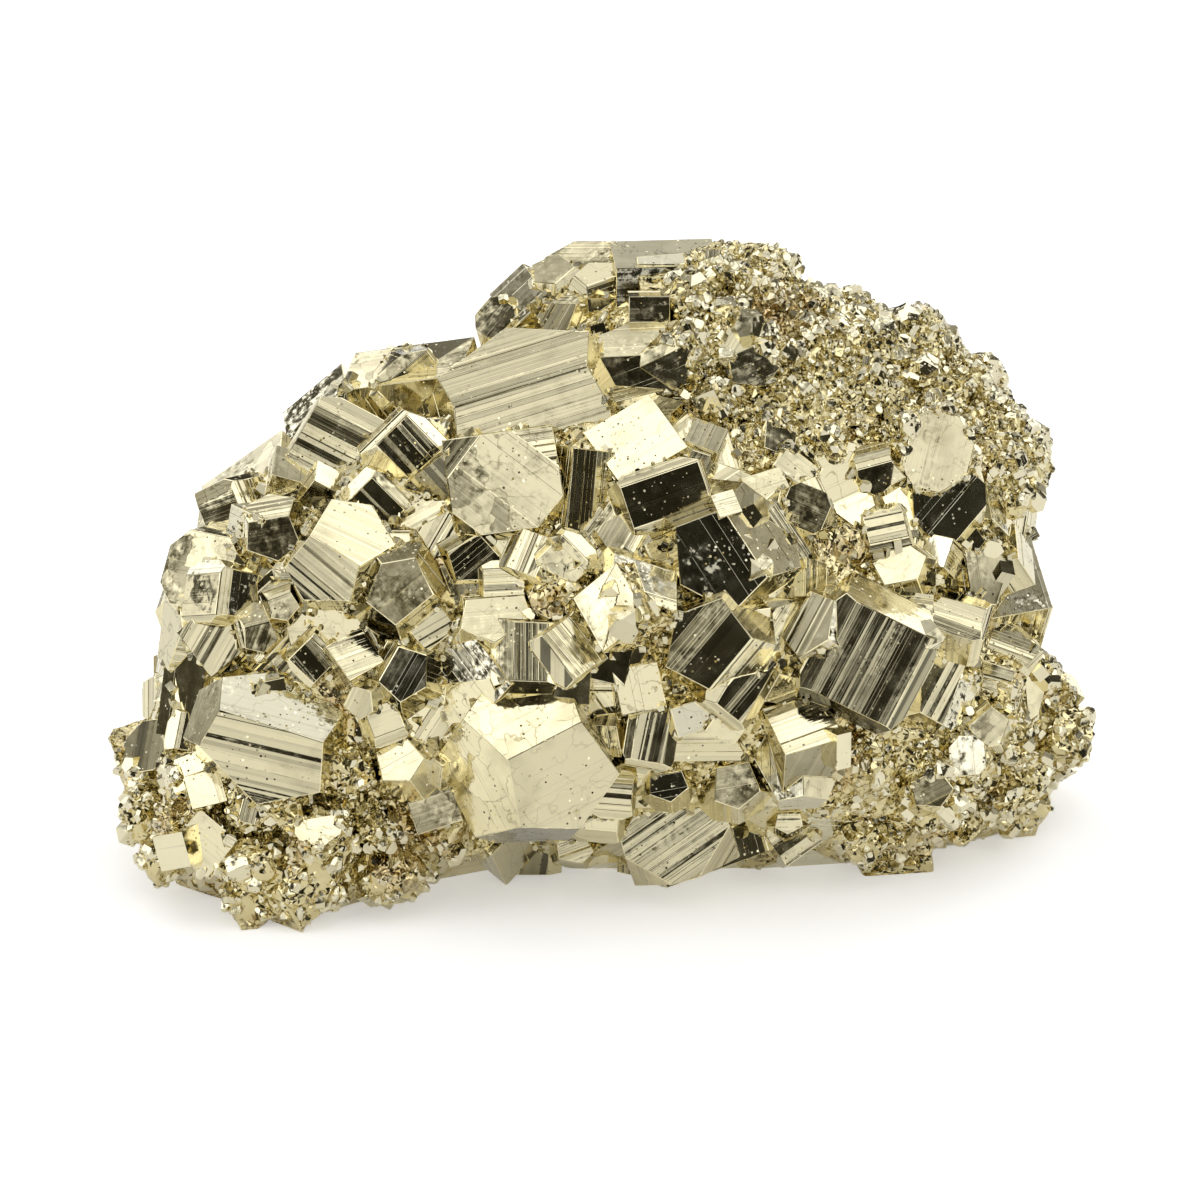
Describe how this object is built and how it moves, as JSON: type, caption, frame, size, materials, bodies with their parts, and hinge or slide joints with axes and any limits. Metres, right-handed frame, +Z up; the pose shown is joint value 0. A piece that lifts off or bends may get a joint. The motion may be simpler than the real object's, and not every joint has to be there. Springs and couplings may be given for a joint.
{
  "type": "pyrite specimen",
  "caption": "Hand-sized cluster of interpenetrating pyritohedral and cubic pyrite crystals with grainy druse, flat underneath so that it stands on a shelf.",
  "frame": {"origin": "middle of the bounding box's bottom face, on the surface that the specimen stands on", "axes": "+X to the right along the longest side and +Z up, seen from the best side, which faces -Y"},
  "size_m": [0.1004, 0.0596, 0.0604],
  "materials": {
    "pyrite": "bright natural crystal faces, pale brass yellow, striated, metallic"
  },
  "bodies": {
    "root": {"pyrite_cluster": "pyrite"}
  },
  "joints": []
}
